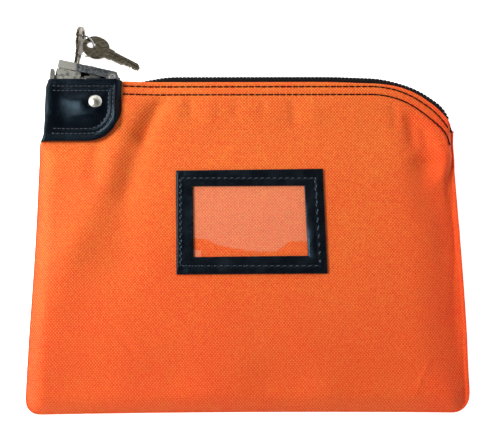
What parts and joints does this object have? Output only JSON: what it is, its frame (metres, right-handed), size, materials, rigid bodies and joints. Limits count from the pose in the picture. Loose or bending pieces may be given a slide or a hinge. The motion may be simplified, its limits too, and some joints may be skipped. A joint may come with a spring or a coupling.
{
  "type": "locking cash deposit bag",
  "caption": "Flat canvas cash bag with a zipped mouth, a leather corner holding a pop-up cylinder lock, keys on a ring and a framed card window.",
  "frame": {"origin": "middle of the back panel's underside, halfway between the side seams", "axes": "+X along the mouth from the lock corner towards the closed end of the zip, +Y from the bottom fold towards the zip, +Z out of the front panel"},
  "size_m": [0.2794, 0.2555, 0.0193],
  "materials": {
    "canvas": "close plain-weave cotton canvas, matt with a faint sheen",
    "leather": "smooth black leather with a soft gloss",
    "frame_tape": "black vinyl tape",
    "vinyl": "clear soft vinyl",
    "thread_grey": "grey sewing thread",
    "thread_black": "black sewing thread",
    "thread_dark": "dark sewing thread",
    "zip_tape": "black woven zip tape",
    "zip_teeth": "black moulded plastic",
    "nickel": "worn nickel plate",
    "steel": "plated steel",
    "brass": "turned brass",
    "key_metal": "nickel-silver, dulled in use"
  },
  "bodies": {
    "bag": {"back_panel": "canvas", "front_panel": "canvas", "leather_back": "leather", "leather_front": "leather", "window_frame": "frame_tape", "window_vinyl": "vinyl", "window_stitches": "thread_grey", "leather_stitches": "thread_black", "hem_stitches": "thread_dark", "zipper_tape_back": "zip_tape", "zipper_tape_front": "zip_tape", "zipper_teeth_back": "zip_teeth", "zipper_teeth_front": "zip_teeth", "zipper_top_stops": "nickel", "zipper_bottom_stop": "nickel", "lock_frame": "nickel", "rivet_cap": "nickel", "rivet_post": "steel", "pivot_pins": "steel", "pop_spring": "steel"},
    "lock_head": {"lock_hood": "nickel", "cylinder_housing": "nickel", "housing_cap": "nickel", "cap_screws": "steel", "driver_pins": "brass", "pin_springs": "steel", "chamber_strip": "brass", "slider_hook": "steel"},
    "plug": {"cylinder_plug": "brass", "key_pins": "brass", "cam_plate": "steel", "cam_screw": "steel"},
    "latch": {"latch_bolt": "steel"},
    "slider": {"slider_body": "nickel", "slider_bridge": "nickel"},
    "key": {"lock_key": "key_metal"},
    "ring": {"key_ring": "steel"},
    "spare": {"spare_key": "key_metal"}
  },
  "joints": [
    {"name": "lock_pop", "type": "hinge", "parent": "bag", "child": "lock_head", "pos_m": [-0.09, 0.1058, 0.0085], "axis": [0, 0, 1], "range_deg": [0, 6.5], "stiffness_Nm_per_rad": 0.02},
    {"name": "plug_turn", "type": "hinge", "parent": "lock_head", "child": "plug", "pos_m": [-0.11649, 0.11184, 0.0085], "axis": [0.1132, 0.9936, 0], "range_deg": [-90, 0]},
    {"name": "latch_slide", "type": "slide", "parent": "lock_head", "child": "latch", "axis": [0.9936, -0.1132, 0], "range_m": [-0.0036, 0.0002]},
    {"name": "key_slide", "type": "slide", "parent": "plug", "child": "key", "axis": [0.1132, 0.9936, 0], "range_m": [0, 0.03]},
    {"name": "ring_swing", "type": "hinge", "parent": "key", "child": "ring", "pos_m": [-0.11336, 0.13926, 0.0085], "axis": [0.9936, -0.1132, 0], "range_deg": [-8, 8]},
    {"name": "spare_key_swing", "type": "hinge", "parent": "ring", "child": "spare", "pos_m": [-0.10656, 0.13167, 0.00839], "axis": [0.1818, 0.1798, 0.9667], "range_deg": [-8, 8]},
    {"name": "slider_slide", "type": "slide", "parent": "bag", "child": "slider", "axis": [1, 0, 0], "range_m": [0, 0.175]}
  ],
  "couplings": [
    {"joint": "latch_slide", "follows": "plug_turn", "m_per_rad": 0.00216}
  ]
}
